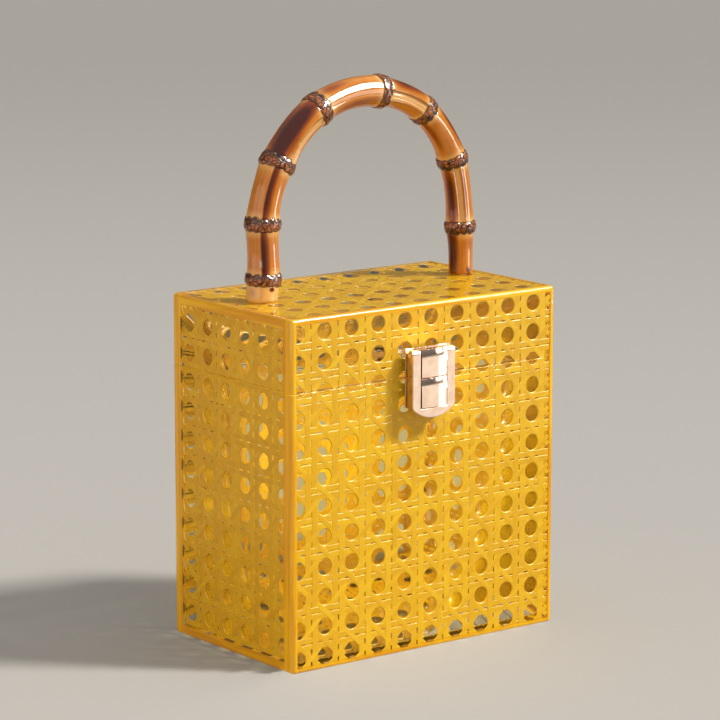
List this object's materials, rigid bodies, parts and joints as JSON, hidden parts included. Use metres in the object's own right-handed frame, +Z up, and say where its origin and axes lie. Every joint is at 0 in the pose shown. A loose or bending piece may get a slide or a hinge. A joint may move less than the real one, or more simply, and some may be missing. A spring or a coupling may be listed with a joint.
{
  "type": "basket box bag",
  "caption": "Upright clear resin box bag with yellow cane webbing in its walls, a hinged lid, a front flip clasp and an arched bamboo handle.",
  "frame": {"origin": "middle of the box's underside, on the surface that it stands on", "axes": "+X to the right seen from the front, +Y from the front to the hinged back, +Z up"},
  "size_m": [0.169, 0.1139, 0.2886],
  "materials": {
    "clear_resin": "clear polished cast resin",
    "yellow_cane": "yellow dyed split cane",
    "bamboo": "glossy lacquered bamboo root, scorched at the nodes",
    "pale_gold": "polished pale gold plate",
    "steel_fixings": "plain steel"
  },
  "bodies": {
    "body": {"body_front_panel": "clear_resin", "body_back_panel": "clear_resin", "body_left_panel": "clear_resin", "body_right_panel": "clear_resin", "body_bottom_panel": "clear_resin", "body_front_cane": "yellow_cane", "body_back_cane": "yellow_cane", "body_left_cane": "yellow_cane", "body_right_cane": "yellow_cane", "body_bottom_cane": "yellow_cane", "clasp_keeper_plate": "pale_gold", "clasp_keeper_nuts": "steel_fixings", "hinge_left_body_leaf": "pale_gold", "hinge_right_body_leaf": "pale_gold", "hinge_left_pin": "pale_gold", "hinge_right_pin": "pale_gold", "hinge_body_rivets": "pale_gold"},
    "lid": {"lid_front_panel": "clear_resin", "lid_back_panel": "clear_resin", "lid_left_panel": "clear_resin", "lid_right_panel": "clear_resin", "lid_top_panel": "clear_resin", "lid_front_cane": "yellow_cane", "lid_back_cane": "yellow_cane", "lid_left_cane": "yellow_cane", "lid_right_cane": "yellow_cane", "lid_top_cane": "yellow_cane", "bamboo_handle": "bamboo", "handle_screws": "steel_fixings", "handle_washers": "steel_fixings", "clasp_lid_plate": "pale_gold", "clasp_pin": "pale_gold", "clasp_lid_nuts": "steel_fixings", "hinge_left_lid_leaf": "pale_gold", "hinge_right_lid_leaf": "pale_gold", "hinge_lid_rivets": "pale_gold"},
    "clasp_lever": {"clasp_lever": "pale_gold"}
  },
  "joints": [
    {"name": "lid_hinge", "type": "hinge", "parent": "body", "child": "lid", "pos_m": [0, 0.0541, 0.1421], "axis": [-1, 0, 0], "range_deg": [0, 110]},
    {"name": "clasp_flip", "type": "hinge", "parent": "lid", "child": "clasp_lever", "pos_m": [0, -0.05505, 0.1545], "axis": [-1, 0, 0], "range_deg": [0, 150]}
  ]
}
